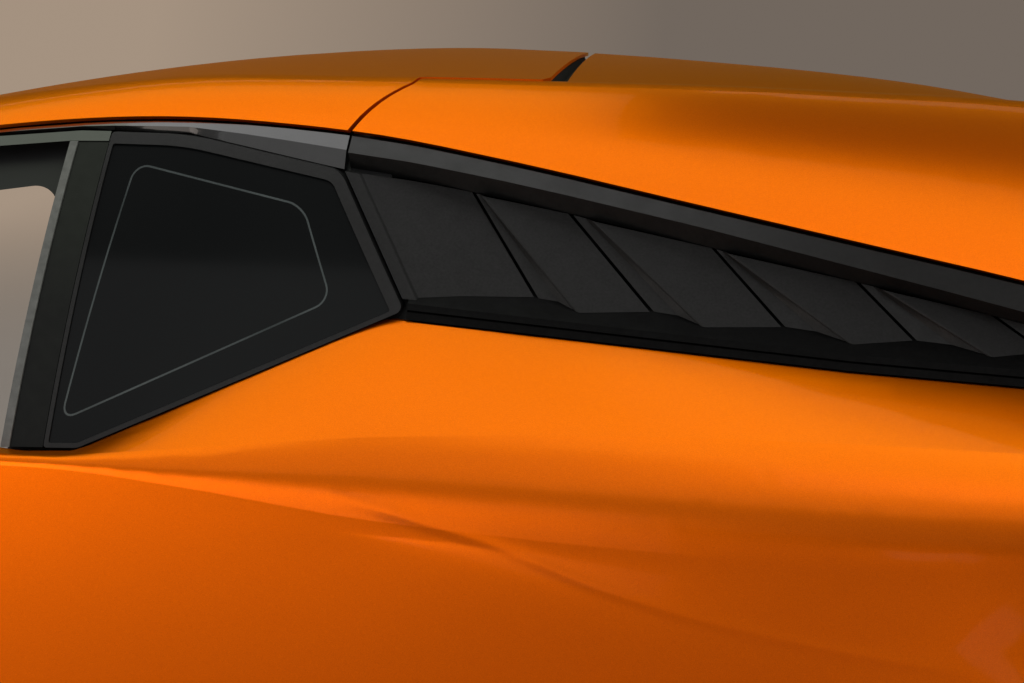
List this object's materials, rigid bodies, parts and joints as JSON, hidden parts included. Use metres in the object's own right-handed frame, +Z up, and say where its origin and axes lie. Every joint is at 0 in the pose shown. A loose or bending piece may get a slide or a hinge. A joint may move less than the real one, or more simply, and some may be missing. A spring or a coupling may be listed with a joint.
{
  "type": "car body rear quarter section",
  "caption": "Left rear quarter of a mid-engined supercar body: wing with crease and wheel arch, roof, sail, engine cover, quarter window and louvred vent.",
  "frame": {"origin": "centre of the four-hole chassis flange on the B-post's inboard face", "axes": "+X rearwards along the car, +Y inboard towards the car's centre plane and out of the chassis flange, +Z up"},
  "size_m": [1.97, 0.974, 0.8652],
  "materials": {
    "orange_paint": "gloss metallic clearcoat",
    "grey_primer": "satin electrocoat primer",
    "gloss_black": "gloss",
    "satin_black": "satin",
    "grained_black": "fine grain, matte",
    "seal_rubber": "matte",
    "tinted_glass": "polished, privacy tint",
    "striker_steel": "zinc plated"
  },
  "bodies": {
    "root": {"b_post": "grey_primer", "side_frame": "grey_primer", "cabin_bulkhead": "grey_primer", "inner_wing_panel": "grey_primer", "shoulder_shelf": "grey_primer", "wheel_arch_liner": "grained_black", "rear_end_panel": "grey_primer", "roof_cant_rail": "grey_primer", "sail_cant_rail": "grey_primer", "roof_side_panel": "orange_paint", "sail_panel": "orange_paint", "engine_cover": "orange_paint", "rear_wing_panel": "orange_paint", "quarter_glass": "tinted_glass", "glass_moulding": "satin_black", "b_pillar_cover": "gloss_black", "b_pillar_seal": "seal_rubber", "door_drip_strip": "gloss_black", "cant_rail_cover": "gloss_black", "vent_rail": "satin_black", "vent_sill": "satin_black", "vent_tail_finisher": "gloss_black", "vent_pillar_cover": "grained_black", "vent_slat_1": "grained_black", "vent_slat_2": "grained_black", "vent_slat_3": "grained_black", "vent_slat_4": "grained_black", "vent_slat_5": "grained_black", "vent_back_plate": "grained_black", "intake_duct": "grained_black", "intake_vane_1": "grained_black", "intake_vane_2": "grained_black", "intake_vane_3": "grained_black", "door_striker": "striker_steel"}
  },
  "joints": []
}
